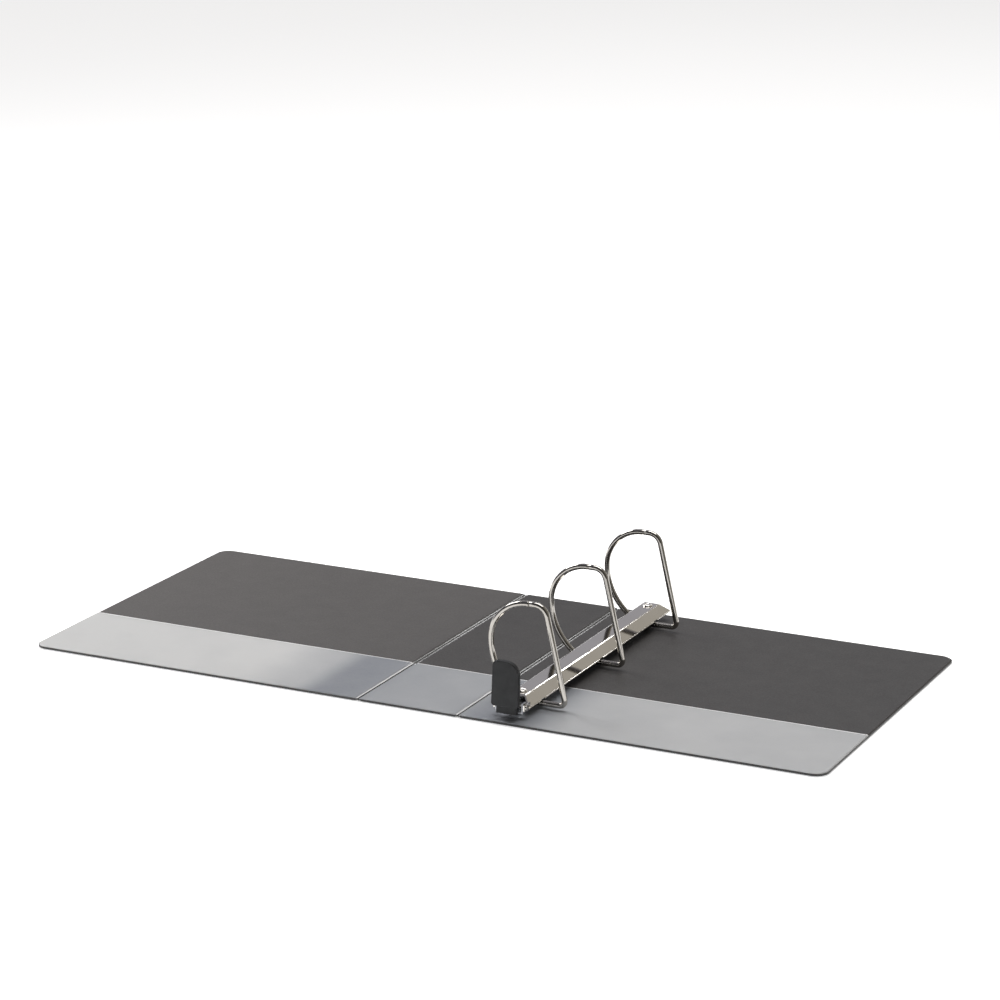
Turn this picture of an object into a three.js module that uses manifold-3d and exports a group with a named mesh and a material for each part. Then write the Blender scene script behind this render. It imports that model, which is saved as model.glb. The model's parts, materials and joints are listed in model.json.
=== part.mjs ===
// Three-ring view binder with slant-D rings and one opening lever, lying open and flat.
// Millimetres, +Z up. The origin is under the middle of the spine, on the surface that the covers lie on.
// +X points to the back cover, which carries the ring mechanism. +Y points to the top edge of the covers.
import * as THREE from 'three';
import { mergeVertices } from 'three/addons/utils/BufferGeometryUtils.js';
import Module from 'manifold-3d';

const wasm = await Module();
wasm.setup();

// ---------------------------------------------------------------- driving dimensions

const COVER_HEIGHT = 298.45;
const COVER_EDGE_X = 327.75;
const CORNER_RADIUS = 11;
const HINGE_X = 41.5;
const GROOVE_WIDTH = 4.1;
const WEB_WIDTH = 3.5;

// The covers' layers, from the table up.
const OVERLAY = { low: 0, high: 0.2 };
const SKIN = { low: 0.25, high: 0.6 };
const BOARD = { low: 0.65, high: 2.35 };
const LINER = { low: 2.4, high: 2.8 };
const POCKET = { low: 2.85, high: 3.1 };
const WEB = { low: 1.0, high: 1.8 };
const RIM_WIDTH = 1.2;
// The play left between pieces that nearly touch.
const GAP = 0.3;
const OVERLAY_INSET = 1.75;
const OVERLAY_TOP_DROP = 5.5;
const POCKET_INSET = 1.0;
const POCKET_HEIGHT = 94.5;

const INNER = LINER.high;
const HALF_HEIGHT = COVER_HEIGHT / 2;

// The ring mechanism: heights are above the liner, and x is from the housing's centre line.
const HOUSING_X = 78.4;
const HOUSING = {
  nearY: -132,
  farY: 138.5,
  endSlope: 9,
  halfWidth: 13.4,
  crownHalf: 6.3,
  edgeZ: 6.5,
  shoulderZ: 7.6,
  topZ: 14.3,
  wall: 0.9,
  innerCrownHalf: 5.93,
  innerShoulderZ: 7.21,
  lipInner: 10,
  lipTop: 7.1,
  crownBend: 3,
  shoulderBend: 1.6,
};
const RING_PITCH = 107.95;
const RING_YS = [-RING_PITCH, 0, RING_PITCH];
const WIRE_RADIUS = 2.2;
const WIRE_SIDES = 12;
const RING_TOP_Z = 79.2;
const RING_ROUND = 30;
const RING_FLANK = 50;
const RING_CENTRE_X = 0.15;
const TIP_X = 0.85;
const TIP_POINT = 0.9;
const LEG_LEAN = 0.2413;
const LEG_TOP_X = 13.8;
const LEG_TOP_BEND = 10;
const LEG_FOOT_BEND = 4;
const BAR_Z = 4.3;
// The notches for the wires: half their length, and where each starts and stops across the housing.
const NOTCH = { half: 3.1, curvedFrom: 6.4, curvedLow: 8.3, straightFrom: 8.8, straightHigh: 7.4 };

const RAIL = { low: 7.7, high: 8.7, inner: 0.25, outer: 10.6, nearY: -122.6, farY: 130 };
const RAIL_TAB = { outer: 4.5, nearY: -134.5 };
const FOOT_X = 7.8;
const STUB_RADIUS = 1.4;
const STUB_HEAD = { radius: 1.8, thickness: 0.7 };

const RIVET_YS = [-116, 122];
const RIVET = {
  shank: 2,
  head: 4,
  tail: 4.5,
  seat: 0.1,
  brim: 0.6,
  crown: 3,
  headRise: 1.1,
  dishHalf: 1.6,
  dish: 0.6,
};
const SPACER = { inner: 2.3, outer: 3.5, top: 12.85 };
const POST_CLEARANCE = 4.4;

const PIN = { y: -136.5, z: 9, radius: 1.3, head: 2.2, headThickness: 0.7, hole: 1.6 };
const EAR = { inner: 11.6, outer: 12.5, nearY: -139.3, farY: -129, low: 6.9, high: 11.4 };
const ARM = {
  footFront: -142.9,
  footBack: -141.5,
  bladeFront: -146,
  bladeBack: -144.6,
  jogLow: 11.5,
  jogHigh: 16,
  halfWidth: 6.4,
  footHalf: 11.3,
  flange: 1.2,
  flangeFront: -139.5,
  flangeBack: -134,
  low: 4.9,
  tongueHigh: 5.8,
  tongueBack: -134.4,
  shoulder: 12.6,
  high: 40,
};
const CAP = {
  front: -147.5,
  back: -143,
  halfWidth: 11,
  topLeftX: -10.2,
  low: 10.8,
  high: 46,
  topLeftRadius: 3.5,
  topRightRadius: 9.5,
  footRadius: 1.8,
  bevel: 0.8,
};
const COLLAR = {
  front: -143.9,
  back: -139.9,
  half: 8.2,
  low: 4.6,
  backLow: 6.2,
  slopeLow: 13,
  high: 18.5,
};

// ---------------------------------------------------------------- materials

function finish(color, roughness, metalness, opacity = 1) {
  return new THREE.MeshStandardMaterial({
    color,
    roughness,
    metalness,
    opacity,
    transparent: opacity < 1,
  });
}

const blackVinyl = () => finish(0x1b1c1e, 0.45, 0);
const linerVinyl = () => finish(0x35353a, 0.55, 0);
const clearFilm = () => finish(0xdfe6ec, 0.12, 0, 0.35);
const frostedFilm = () => finish(0xc4cbd3, 0.4, 0, 0.6);
const chipboard = () => finish(0x9a8f7c, 0.9, 0);
const nickel = () => finish(0xc9c8c6, 0.2, 1);
const zincSteel = () => finish(0x8f9195, 0.4, 1);
const blackPlastic = () => finish(0x17181a, 0.6, 0);

// ---------------------------------------------------------------- solids

function toSolid(geometry) {
  const bare = geometry.index ? geometry.toNonIndexed() : geometry.clone();
  bare.deleteAttribute('normal');
  bare.deleteAttribute('uv');
  const merged = mergeVertices(bare, 1e-5);
  return new wasm.Manifold(
    new wasm.Mesh({
      numProp: 3,
      vertProperties: new Float32Array(merged.attributes.position.array),
      triVerts: new Uint32Array(merged.index.array),
    }),
  );
}

function toGeometry(solid) {
  const mesh = solid.getMesh();
  const geometry = new THREE.BufferGeometry();
  geometry.setAttribute('position', new THREE.BufferAttribute(mesh.vertProperties, 3));
  geometry.setIndex(new THREE.BufferAttribute(mesh.triVerts, 1));
  return geometry;
}

// A block between two corners.
function block(x0, x1, y0, y1, z0, z1) {
  const geometry = new THREE.BoxGeometry(x1 - x0, y1 - y0, z1 - z0);
  geometry.translate((x0 + x1) / 2, (y0 + y1) / 2, (z0 + z1) / 2);
  return toSolid(geometry);
}

// An upright round bar about a point of the plan.
function post(x, y, radius, z0, z1, sides = 16) {
  const geometry = new THREE.CylinderGeometry(radius, radius, z1 - z0, sides);
  geometry.rotateX(Math.PI / 2);
  geometry.translate(x, y, (z0 + z1) / 2);
  return toSolid(geometry);
}

// A round bar along X.
function crossBar(x0, x1, y, z, radius) {
  const geometry = new THREE.CylinderGeometry(radius, radius, x1 - x0, 16);
  geometry.rotateZ(Math.PI / 2);
  geometry.translate((x0 + x1) / 2, y, z);
  return toSolid(geometry);
}

// A plan shape given a height.
function slab(shape, low, high) {
  const geometry = new THREE.ExtrudeGeometry(shape, {
    depth: high - low,
    bevelEnabled: false,
    curveSegments: 8,
  });
  geometry.translate(0, 0, low);
  return toSolid(geometry);
}

// A shape of the XZ plane given a length along Y.
function alongY(shape, y0, y1) {
  const geometry = new THREE.ExtrudeGeometry(shape, {
    depth: y1 - y0,
    bevelEnabled: false,
    curveSegments: 8,
  });
  geometry.rotateX(Math.PI / 2);
  geometry.translate(0, y1, 0);
  return toSolid(geometry);
}

// A shape of the YZ plane given a length along X, from points that each hold y and z.
function alongX(points, x0, x1) {
  const shape = new THREE.Shape(points.map(([y, z]) => new THREE.Vector2(y, z)));
  const geometry = new THREE.ExtrudeGeometry(shape, { depth: x1 - x0, bevelEnabled: false });
  geometry.translate(0, 0, x0);
  geometry.rotateX(Math.PI / 2);
  geometry.rotateZ(Math.PI / 2);
  return toSolid(geometry);
}

// A rectangle with its own radius at each corner, from the low left one counter-clockwise.
function roundedRectangle(x0, x1, y0, y1, radii) {
  const [lowLeft, lowRight, highRight, highLeft] = radii;
  const shape = new THREE.Shape();
  shape.moveTo(x0 + lowLeft, y0);
  shape.lineTo(x1 - lowRight, y0);
  if (lowRight > 0) shape.absarc(x1 - lowRight, y0 + lowRight, lowRight, -Math.PI / 2, 0);
  shape.lineTo(x1, y1 - highRight);
  if (highRight > 0) shape.absarc(x1 - highRight, y1 - highRight, highRight, 0, Math.PI / 2);
  shape.lineTo(x0 + highLeft, y1);
  if (highLeft > 0) shape.absarc(x0 + highLeft, y1 - highLeft, highLeft, Math.PI / 2, Math.PI);
  shape.lineTo(x0, y0 + lowLeft);
  if (lowLeft > 0) shape.absarc(x0 + lowLeft, y0 + lowLeft, lowLeft, Math.PI, 1.5 * Math.PI);
  return shape;
}

// Two distances from the middle, taken to one side of it, low one first.
function mirrored(side, a, b) {
  return [side * a, side * b].sort((p, q) => p - q);
}

const pinHole = () => crossBar(-2 * EAR.outer, 2 * EAR.outer, PIN.y, PIN.z, PIN.hole);

const binder = new THREE.Group();

function addPiece(name, solid, material, place = [0, 0, 0]) {
  const mesh = new THREE.Mesh(toGeometry(solid), material);
  mesh.name = name;
  mesh.position.set(...place);
  binder.add(mesh);
}

// ---------------------------------------------------------------- covers and spine

const grooveHalf = GROOVE_WIDTH / 2;
const PANELS = {
  front: { x0: -COVER_EDGE_X, x1: -HINGE_X - grooveHalf, leftCorner: CORNER_RADIUS, rightCorner: 0 },
  spine: { x0: -HINGE_X + grooveHalf, x1: HINGE_X - grooveHalf, leftCorner: 0, rightCorner: 0 },
  back: { x0: HINGE_X + grooveHalf, x1: COVER_EDGE_X, leftCorner: 0, rightCorner: CORNER_RADIUS },
};

// A panel's outline, drawn in by an inset on every side and by a further drop at the top edge.
function panelShape(panel, inset, topDrop = 0) {
  const left = Math.max(panel.leftCorner - inset, 0);
  const right = Math.max(panel.rightCorner - inset, 0);
  return roundedRectangle(
    panel.x0 + inset,
    panel.x1 - inset,
    -HALF_HEIGHT + inset,
    HALF_HEIGHT - Math.max(inset, topDrop),
    [left, right, right, left],
  );
}

// The strip of a panel that the inside pocket covers, closed along the bottom edge.
function pocketShape(panel) {
  const left = Math.max(panel.leftCorner - POCKET_INSET, 0);
  const right = Math.max(panel.rightCorner - POCKET_INSET, 0);
  return roundedRectangle(
    panel.x0 + POCKET_INSET,
    panel.x1 - POCKET_INSET,
    -HALF_HEIGHT + POCKET_INSET,
    -HALF_HEIGHT + POCKET_HEIGHT,
    [left, right, 0, 0],
  );
}

// Round holes at both rivets, only in the back cover's layers.
function pierce(solid, radius) {
  let pierced = solid;
  for (const y of RIVET_YS) {
    pierced = pierced.subtract(post(HOUSING_X, y, radius, -1, INNER + 2, 20));
  }
  return pierced;
}

for (const [name, panel] of Object.entries(PANELS)) {
  const cut = (solid, radius) => (name === 'back' ? pierce(solid, radius) : solid);

  const tray = slab(panelShape(panel, 0), SKIN.low, BOARD.high).subtract(
    slab(panelShape(panel, RIM_WIDTH), SKIN.high, BOARD.high + 1),
  );
  const film = slab(panelShape(panel, OVERLAY_INSET, OVERLAY_TOP_DROP), OVERLAY.low, OVERLAY.high);
  const board = slab(panelShape(panel, RIM_WIDTH + GAP), BOARD.low, BOARD.high);
  const liner = slab(panelShape(panel, 0), LINER.low, LINER.high);
  const pocket = slab(pocketShape(panel), POCKET.low, POCKET.high);
  addPiece(`${name}_view_film`, film, clearFilm());
  addPiece(`${name}_outer_skin`, cut(tray, RIVET.tail + GAP), blackVinyl());
  addPiece(`${name}_board`, cut(board, RIVET.shank + GAP), chipboard());
  addPiece(`${name}_liner`, cut(liner, RIVET.shank + GAP), linerVinyl());
  addPiece(`${name}_pocket`, cut(pocket, SPACER.outer + GAP), frostedFilm());
}

// The welded vinyl between the panels, which is all that joins them.
for (const [name, x] of [['front_hinge_web', -HINGE_X], ['back_hinge_web', HINGE_X]]) {
  const half = WEB_WIDTH / 2;
  addPiece(name, block(x - half, x + half, -HALF_HEIGHT, HALF_HEIGHT, WEB.low, WEB.high), blackVinyl());
}

// ---------------------------------------------------------------- ring housing

// A closed outline with its corners rounded, from points that each hold x, z and a radius.
function roundedOutline(corners) {
  const shape = new THREE.Shape();
  corners.forEach(([x, z, radius], i) => {
    const here = new THREE.Vector2(x, z);
    const [before, after] = [corners.at(i - 1), corners[(i + 1) % corners.length]].map(
      ([a, b]) => new THREE.Vector2(a, b).sub(here).normalize(),
    );
    const setback = radius / Math.tan(before.angleTo(after) / 2);
    const start = here.clone().addScaledVector(before, setback);
    const end = here.clone().addScaledVector(after, setback);
    if (i === 0) shape.moveTo(start.x, start.y);
    else shape.lineTo(start.x, start.y);
    if (radius > 0) shape.quadraticCurveTo(x, z, end.x, end.y);
  });
  return shape;
}

// The outside of the housing's section: a flat crown, a flank down each side and an upright edge.
function outerSection() {
  const { halfWidth, crownHalf, edgeZ, shoulderZ, topZ, crownBend, shoulderBend } = HOUSING;
  const rightSide = [
    [halfWidth, edgeZ, 0],
    [halfWidth, shoulderZ, shoulderBend / 2],
    [crownHalf, topZ, crownBend],
  ];
  const leftSide = rightSide.map(([x, z, radius]) => [-x, z, radius]).reverse();
  return roundedOutline([...rightSide, ...leftSide]);
}

// The hollow inside it. A low one also cuts away the bottom between the lips.
function innerSection() {
  const { halfWidth, wall, innerCrownHalf, innerShoulderZ, topZ, lipTop, crownBend } = HOUSING;
  const rightSide = [
    [halfWidth - wall, lipTop, 0],
    [halfWidth - wall, innerShoulderZ, 0],
    [innerCrownHalf, topZ - wall, crownBend - wall],
  ];
  const leftSide = rightSide.map(([x, z, radius]) => [-x, z, radius]).reverse();
  return roundedOutline([...rightSide, ...leftSide]);
}

// The space under a roof that slopes down to the housing's ends. The inner one is a wall's thickness lower.
function underEndSlopes(nearY, farY, drop) {
  const { halfWidth, edgeZ, topZ, endSlope } = HOUSING;
  const farEnd = farY - drop;
  const wallTop = edgeZ + 1;
  const roof = topZ + 0.5;
  const outline = [
    [nearY, 0],
    [farEnd, 0],
    [farEnd, wallTop],
    [farEnd - endSlope, roof],
    [nearY + endSlope, roof],
    [nearY, wallTop],
  ];
  return alongX(outline, -halfWidth - 1, halfWidth + 1);
}

function ringHousing() {
  const { nearY, farY, halfWidth, wall, lipInner, topZ } = HOUSING;
  const hollowStart = nearY - 20;
  const edge = halfWidth + 1;
  const outside = alongY(outerSection(), nearY, farY).intersect(underEndSlopes(nearY, farY, 0));
  const inside = alongY(innerSection(), hollowStart, farY).intersect(
    underEndSlopes(hollowStart, farY, 1.3 * wall),
  );
  const underside = block(-lipInner, lipInner, nearY - 1, farY - 3, 0, RAIL.low);
  let solid = outside.subtract(inside).subtract(underside);
  for (const y of RING_YS) {
    const [y0, y1] = [y - NOTCH.half, y + NOTCH.half];
    solid = solid.subtract(block(-edge, -NOTCH.curvedFrom, y0, y1, NOTCH.curvedLow, topZ));
    solid = solid.subtract(block(NOTCH.straightFrom, edge, y0, y1, 0, NOTCH.straightHigh));
  }
  for (const y of RIVET_YS) {
    solid = solid.subtract(post(0, y, RIVET.shank + GAP, RAIL.high, topZ + 1));
  }
  for (const side of [-1, 1]) {
    const [x0, x1] = mirrored(side, EAR.inner, EAR.outer);
    solid = solid.add(block(x0, x1, EAR.nearY, EAR.farY, EAR.low, EAR.high));
  }
  return solid.subtract(pinHole());
}

const MECHANISM = [HOUSING_X, 0, INNER];
addPiece('ring_housing', ringHousing(), nickel(), MECHANISM);

// ---------------------------------------------------------------- rings and their rails

// A wire's centre line as points and directions, closer together on its bends.
class WirePath extends THREE.Curve {
  constructor() {
    super();
    this.points = [];
    this.directions = [];
  }

  add(x, z, dx, dz) {
    this.points.push(new THREE.Vector3(x, 0, z));
    this.directions.push(new THREE.Vector3(dx, 0, dz).normalize());
  }

  // An arc about a centre, from one angle to another in the XZ plane.
  arc(cx, cz, radius, from, to, steps) {
    const turn = Math.sign(to - from);
    for (let i = 0; i <= steps; i++) {
      const a = from + ((to - from) * i) / steps;
      const atStart = i === 0 && this.points.length > 0;
      const point = [cx + radius * Math.cos(a), cz + radius * Math.sin(a)];
      const last = this.points.at(-1);
      const repeated = atStart && Math.hypot(point[0] - last.x, point[1] - last.z) < 0.01;
      if (!repeated) this.add(...point, -turn * Math.sin(a), turn * Math.cos(a));
    }
  }

  getPointAt(u) {
    return this.points[Math.round(u * (this.points.length - 1))].clone();
  }

  getPoint(u) {
    return this.getPointAt(u);
  }

  getTangentAt(u) {
    return this.directions[Math.round(u * (this.points.length - 1))].clone();
  }

  tube() {
    const circle = new THREE.Shape().absarc(0, 0, WIRE_RADIUS, 0, 2 * Math.PI);
    return toSolid(
      new THREE.ExtrudeGeometry(circle, {
        steps: this.points.length - 1,
        curveSegments: WIRE_SIDES,
        extrudePath: this,
      }),
    );
  }
}

// A wedge across the wire at the rings' joint, pointing along +X.
function tipWedge(tipX, depth) {
  const shape = new THREE.Shape();
  const reach = WIRE_RADIUS + 0.5;
  shape.moveTo(tipX + depth, RING_TOP_Z);
  shape.lineTo(tipX, RING_TOP_Z + reach);
  shape.lineTo(tipX - 6, RING_TOP_Z + reach);
  shape.lineTo(tipX - 6, RING_TOP_Z - reach);
  shape.lineTo(tipX, RING_TOP_Z - reach);
  return alongY(shape, -4, 4);
}

// The curved half: two arcs from the left rail up to the joint. Its foot is headed over under the rail.
function curvedHalf() {
  const path = new WirePath();
  const middleZ = RING_TOP_Z - RING_ROUND;
  const flankX = RING_CENTRE_X - RING_ROUND + RING_FLANK;
  const footAngle = Math.PI + Math.asin((middleZ - RAIL.high + 1) / RING_FLANK);
  path.arc(flankX, middleZ, RING_FLANK, footAngle, Math.PI, 9);
  path.arc(RING_CENTRE_X, middleZ, RING_ROUND, Math.PI, Math.PI / 2, 15);
  path.add(TIP_X + TIP_POINT, RING_TOP_Z, 1, 0);

  const tipZone = block(TIP_X - 3, TIP_X + 4, -4, 4, RING_TOP_Z - 4, RING_TOP_Z + 4);
  const kept = tipZone.intersect(tipWedge(TIP_X - GAP / 2, TIP_POINT));
  const waste = tipZone.subtract(kept);
  const headTop = RAIL.low - GAP;
  return path
    .tube()
    .subtract(waste)
    .subtract(block(-16, 0, -4, 4, 0, RAIL.high + GAP))
    .add(post(-FOOT_X, 0, STUB_RADIUS, headTop - 0.1, RAIL.high + GAP + 0.4))
    .add(post(-FOOT_X, 0, STUB_HEAD.radius, headTop - STUB_HEAD.thickness, headTop));
}

// The straight half: along the top, down the leaning leg and back under the right rail.
function straightHalf() {
  const path = new WirePath();
  const lean = Math.atan(LEG_LEAN);
  const topSetback = LEG_TOP_BEND * Math.tan((Math.PI / 2 - lean) / 2);
  const footSetback = LEG_FOOT_BEND * Math.tan((Math.PI / 2 + lean) / 2);
  const legFootX = LEG_TOP_X + (RING_TOP_Z - BAR_Z) * LEG_LEAN;
  path.add(TIP_X, RING_TOP_Z, 1, 0);
  path.arc(LEG_TOP_X - topSetback, RING_TOP_Z - LEG_TOP_BEND, LEG_TOP_BEND, Math.PI / 2, lean, 8);
  path.arc(legFootX - footSetback, BAR_Z + LEG_FOOT_BEND, LEG_FOOT_BEND, lean, -Math.PI / 2, 9);
  path.add(FOOT_X - 2, BAR_Z, -1, 0);

  const headLow = RAIL.high + GAP;
  return path
    .tube()
    .subtract(tipWedge(TIP_X + GAP / 2, TIP_POINT))
    .add(post(FOOT_X, 0, STUB_RADIUS, BAR_Z, headLow + 0.1))
    .add(post(FOOT_X, 0, STUB_HEAD.radius, headLow, headLow + STUB_HEAD.thickness));
}

// A flat rail with a round hole at each ring's foot, room for the rivet posts and a tab to the lever.
function railPlate(side) {
  const [x0, x1] = mirrored(side, RAIL.inner, RAIL.outer);
  const [t0, t1] = mirrored(side, RAIL.inner, RAIL_TAB.outer);
  let solid = block(x0, x1, RAIL.nearY, RAIL.farY, RAIL.low, RAIL.high);
  solid = solid.add(block(t0, t1, RAIL_TAB.nearY, RAIL.nearY + 1, RAIL.low, RAIL.high));
  for (const y of RING_YS) {
    solid = solid.subtract(post(side * FOOT_X, y, STUB_RADIUS + GAP, RAIL.low - 1, RAIL.high + 1));
  }
  for (const y of RIVET_YS) {
    solid = solid.subtract(post(0, y, POST_CLEARANCE, RAIL.low - 1, RAIL.high + 1));
  }
  return solid;
}

addPiece('left_rail', railPlate(-1), zincSteel(), MECHANISM);
addPiece('right_rail', railPlate(1), zincSteel(), MECHANISM);

const RING_NAMES = ['near', 'middle', 'far'];
const curved = curvedHalf();
const straight = straightHalf();
RING_YS.forEach((y, i) => {
  const place = [HOUSING_X, y, INNER];
  addPiece(`${RING_NAMES[i]}_ring_curved_half`, curved, nickel(), place);
  addPiece(`${RING_NAMES[i]}_ring_straight_half`, straight, nickel(), place);
});

// ---------------------------------------------------------------- rivets and spacers

function rivet() {
  const seat = INNER + HOUSING.topZ + RIVET.seat;
  const dishFloor = seat + RIVET.headRise - RIVET.dish;
  const profile = [
    [0, SKIN.low],
    [RIVET.tail, SKIN.low],
    [RIVET.tail, SKIN.high],
    [RIVET.shank, SKIN.high],
    [RIVET.shank, seat],
    [RIVET.head, seat],
    [RIVET.head, seat + RIVET.brim],
    [RIVET.crown, seat + RIVET.headRise],
    [RIVET.dishHalf, dishFloor],
    [0, dishFloor],
  ];
  const lathe = new THREE.LatheGeometry(profile.map(([x, y]) => new THREE.Vector2(x, y)), 20);
  lathe.rotateX(Math.PI / 2);
  return toSolid(lathe);
}

function spacer() {
  const low = POCKET.low;
  const high = INNER + SPACER.top;
  return post(0, 0, SPACER.outer, low, high, 20).subtract(post(0, 0, SPACER.inner, low - 1, high + 1, 20));
}

RIVET_YS.forEach((y, i) => {
  const end = ['near', 'far'][i];
  addPiece(`${end}_rivet`, rivet(), nickel(), [HOUSING_X, y, 0]);
  addPiece(`${end}_rivet_spacer`, spacer(), zincSteel(), [HOUSING_X, y, 0]);
});

// ---------------------------------------------------------------- lever

// The side view of the arm's blade: upright at its foot, then stepped forward into the cap.
function bladeOutline(low, high, play) {
  const { footFront, footBack, bladeFront, bladeBack, jogLow, jogHigh } = ARM;
  return [
    [footFront - play, low],
    [footBack + play, low],
    [footBack + play, jogLow],
    [bladeBack + play, jogHigh],
    [bladeBack + play, high],
    [bladeFront - play, high],
    [bladeFront - play, jogHigh],
    [footFront - play, jogLow],
  ];
}

// The steel arm: the blade, two side flanges on the pin and the tongue that lifts the rails.
function leverArm() {
  const { halfWidth, footHalf, footFront, flangeFront, low, tongueHigh, tongueBack, high } = ARM;
  let solid = alongX(bladeOutline(low, high, 0), -halfWidth, halfWidth);
  solid = solid.add(block(-halfWidth, halfWidth, footFront, flangeFront + 1, low, tongueHigh));
  solid = solid.add(block(-footHalf, footHalf, flangeFront, tongueBack, low, tongueHigh));
  for (const side of [-1, 1]) {
    const [x0, x1] = mirrored(side, footHalf - ARM.flange, footHalf);
    solid = solid.add(block(x0, x1, flangeFront, ARM.flangeBack, low, ARM.shoulder));
  }
  return solid.subtract(pinHole());
}

// The cap's face: a thumb plate, rounder at its right shoulder than at its left.
function capOutline() {
  const { halfWidth, topLeftX, low, high, topLeftRadius, topRightRadius, footRadius, bevel } = CAP;
  const right = halfWidth - bevel;
  const left = topLeftX + bevel;
  const top = high - bevel;
  const foot = low + bevel + footRadius;
  const outline = new THREE.Shape();
  outline.absarc(right - footRadius, foot, footRadius, -Math.PI / 2, 0);
  outline.absarc(right - topRightRadius, top - topRightRadius, topRightRadius, 0, Math.PI / 2);
  outline.absarc(left + topLeftRadius, top - topLeftRadius, topLeftRadius, Math.PI / 2, Math.PI);
  outline.absarc(footRadius - right, foot, footRadius, Math.PI, 1.5 * Math.PI);
  return outline;
}

// The moulded cap: the thumb plate with a collar at its foot, pushed down over the arm.
function leverCap() {
  const { front, back, bevel } = CAP;
  const geometry = new THREE.ExtrudeGeometry(capOutline(), {
    depth: back - front - 2 * bevel,
    bevelThickness: bevel,
    bevelSize: bevel,
    bevelSegments: 2,
    curveSegments: 8,
  });
  geometry.rotateX(Math.PI / 2);
  geometry.translate(0, back - bevel, 0);
  const slotBack = ARM.footBack + GAP;
  const collar = [
    [COLLAR.front, COLLAR.low],
    [slotBack, COLLAR.low],
    [slotBack, COLLAR.backLow],
    [COLLAR.back, COLLAR.backLow],
    [COLLAR.back, COLLAR.slopeLow],
    [back - 0.2, COLLAR.high],
    [back - 1.5, COLLAR.high],
    [back - 1.5, CAP.low + 1],
    [COLLAR.front, CAP.low + 1],
  ];
  const slot = bladeOutline(0, ARM.high + GAP, GAP);
  return toSolid(geometry)
    .add(alongX(collar, -COLLAR.half, COLLAR.half))
    .subtract(alongX(slot, -ARM.halfWidth - GAP, ARM.halfWidth + GAP));
}

function leverPin() {
  const headStart = EAR.outer + GAP;
  let solid = crossBar(-headStart - 0.1, headStart + 0.1, PIN.y, PIN.z, PIN.radius);
  solid = solid.add(crossBar(headStart, headStart + PIN.headThickness, PIN.y, PIN.z, PIN.head));
  return solid.add(crossBar(-headStart - PIN.headThickness, -headStart, PIN.y, PIN.z, PIN.head));
}

addPiece('lever_arm', leverArm(), zincSteel(), MECHANISM);
addPiece('lever_cap', leverCap(), blackPlastic(), MECHANISM);
addPiece('lever_pin', leverPin(), nickel(), MECHANISM);

export default binder;
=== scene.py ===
"""Three-ring view binder lying open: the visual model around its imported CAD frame. Blender 4.5, metres."""

import json
import math

import bmesh
import bpy
from mathutils import Matrix, Vector


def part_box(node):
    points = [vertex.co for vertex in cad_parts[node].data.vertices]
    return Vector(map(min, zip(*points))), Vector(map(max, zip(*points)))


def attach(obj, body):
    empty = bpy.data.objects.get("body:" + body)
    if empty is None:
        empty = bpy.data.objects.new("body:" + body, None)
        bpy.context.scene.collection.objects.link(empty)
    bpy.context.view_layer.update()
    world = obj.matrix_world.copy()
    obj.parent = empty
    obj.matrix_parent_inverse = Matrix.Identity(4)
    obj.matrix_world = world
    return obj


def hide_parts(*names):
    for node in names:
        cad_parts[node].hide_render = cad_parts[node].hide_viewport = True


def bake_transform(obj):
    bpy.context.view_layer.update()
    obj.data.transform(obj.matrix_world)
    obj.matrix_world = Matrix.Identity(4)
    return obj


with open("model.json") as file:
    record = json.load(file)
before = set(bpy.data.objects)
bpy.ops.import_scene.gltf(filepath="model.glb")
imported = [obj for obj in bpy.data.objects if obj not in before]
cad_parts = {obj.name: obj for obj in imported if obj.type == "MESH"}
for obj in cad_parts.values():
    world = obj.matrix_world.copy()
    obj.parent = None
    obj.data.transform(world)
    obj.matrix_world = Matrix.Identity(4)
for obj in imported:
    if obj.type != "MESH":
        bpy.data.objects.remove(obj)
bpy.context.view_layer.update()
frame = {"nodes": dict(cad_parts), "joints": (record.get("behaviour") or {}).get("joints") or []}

MM = 0.001

# ---------------------------------------------------------------- measures from the frame

HOUSING_LOW, HOUSING_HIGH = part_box("ring_housing")
HOUSING_X = (HOUSING_LOW.x + HOUSING_HIGH.x) / 2
LINER_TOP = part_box("back_liner")[1].z
HALF_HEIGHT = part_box("back_liner")[1].y
POCKET_TOP_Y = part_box("back_pocket")[1].y
VIEW_FILM_TOP_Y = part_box("back_view_film")[1].y
POCKET_BEAD = 1.8 * MM
HINGE_X = next(j["pos_m"][0] for j in frame["joints"] if j["name"] == "spine_fold")

PANELS = {
    "front": {"body": "front_cover", "left": "edge", "right": "groove"},
    "spine": {"body": "spine", "left": "groove", "right": "groove"},
    "back": {"body": "back_cover", "left": "groove", "right": "edge"},
}
CORNER_RADIUS = 11 * MM
CORNER_STEPS = 14
LEAST_EDGE_RADIUS = 0.3 * MM
GROOVE_CORNER = 0.2 * MM

# A panel's section from its edge inwards: the welded seam, the slope over the board's edge, then flat.
SEAM_WIDTH = 0.1 * MM
SLOPE_WIDTH = 1.3 * MM
GROOVE_SLOPE = 1.0 * MM
GROOVE_OVERLAP = 0.3 * MM
SEAM_TOP = 2.1 * MM
SEAM_BOTTOM = 0.7 * MM
SKIN_FLAT = 0.25 * MM
SHEET = 0.35 * MM
SKIN_SHEET = 0.27 * MM
# The outer skin turns up to meet the liner between these distances from its edge.
FOLD_START = 0.25 * MM
FOLD_END = 0.7 * MM
SEAM_GAP = 0.02 * MM
BOARD_INSET = 1.6 * MM
BOARD_LOW = 0.62 * MM
BOARD_HIGH = 2.42 * MM
VIEW_FILM_SHEET = 0.2 * MM
POCKET_SHEET = 0.12 * MM
POCKET_LIFT = 0.04 * MM
BEAD_RISE = 0.14 * MM

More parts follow.
